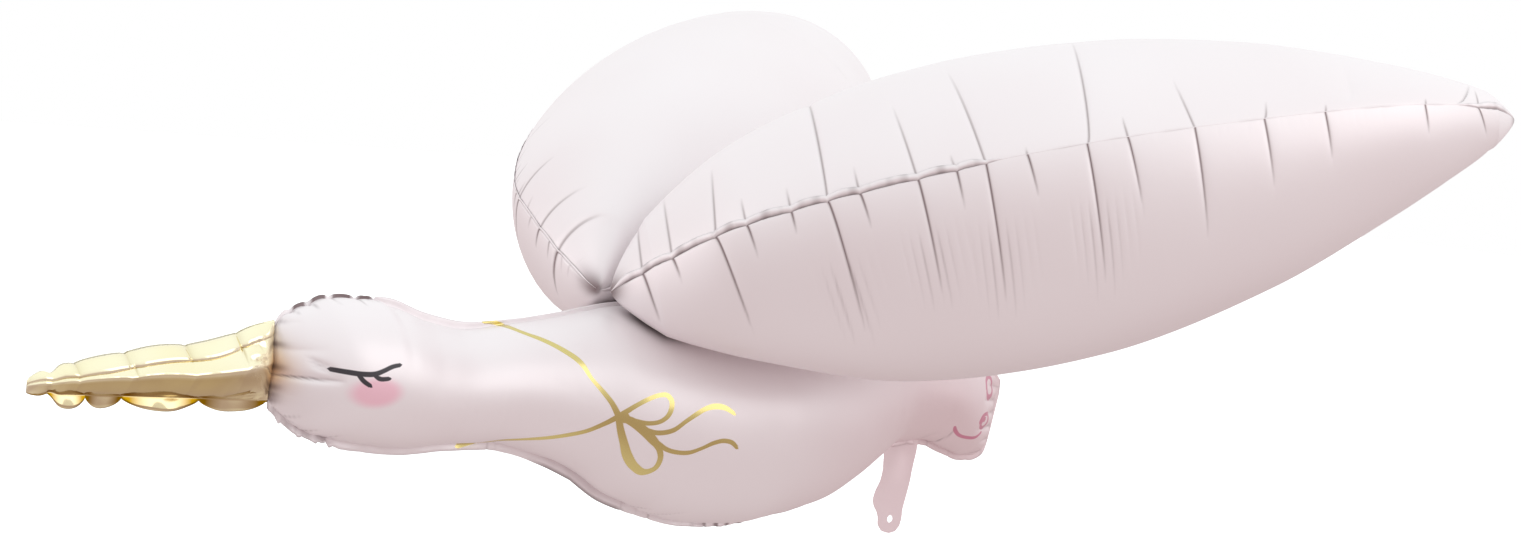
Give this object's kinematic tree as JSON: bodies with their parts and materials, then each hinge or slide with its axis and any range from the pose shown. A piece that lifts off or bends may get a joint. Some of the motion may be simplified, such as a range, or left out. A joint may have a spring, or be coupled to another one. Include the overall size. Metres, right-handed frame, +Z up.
{
  "type": "foil stork balloon",
  "caption": "Flying stork balloon of sealed, air-filled foil: long body with gold beak, swept pillow wings and a filling tab with a ribbon hole.",
  "frame": {"origin": "centre of the ribbon hole in the filling tab under the tail, in the bird's middle plane", "axes": "+X towards the tail, so the beak points to -X; +Y towards the bird's right wing; +Z up"},
  "size_m": [1.0954, 0.9008, 0.46],
  "materials": {
    "pearl_foil": "satin pearl-pink metallised film",
    "gold_foil": "bright gold metallised film"
  },
  "bodies": {
    "root": {"body": "pearl_foil", "beak": "gold_foil", "wing_left": "pearl_foil", "wing_right": "pearl_foil"}
  },
  "joints": []
}
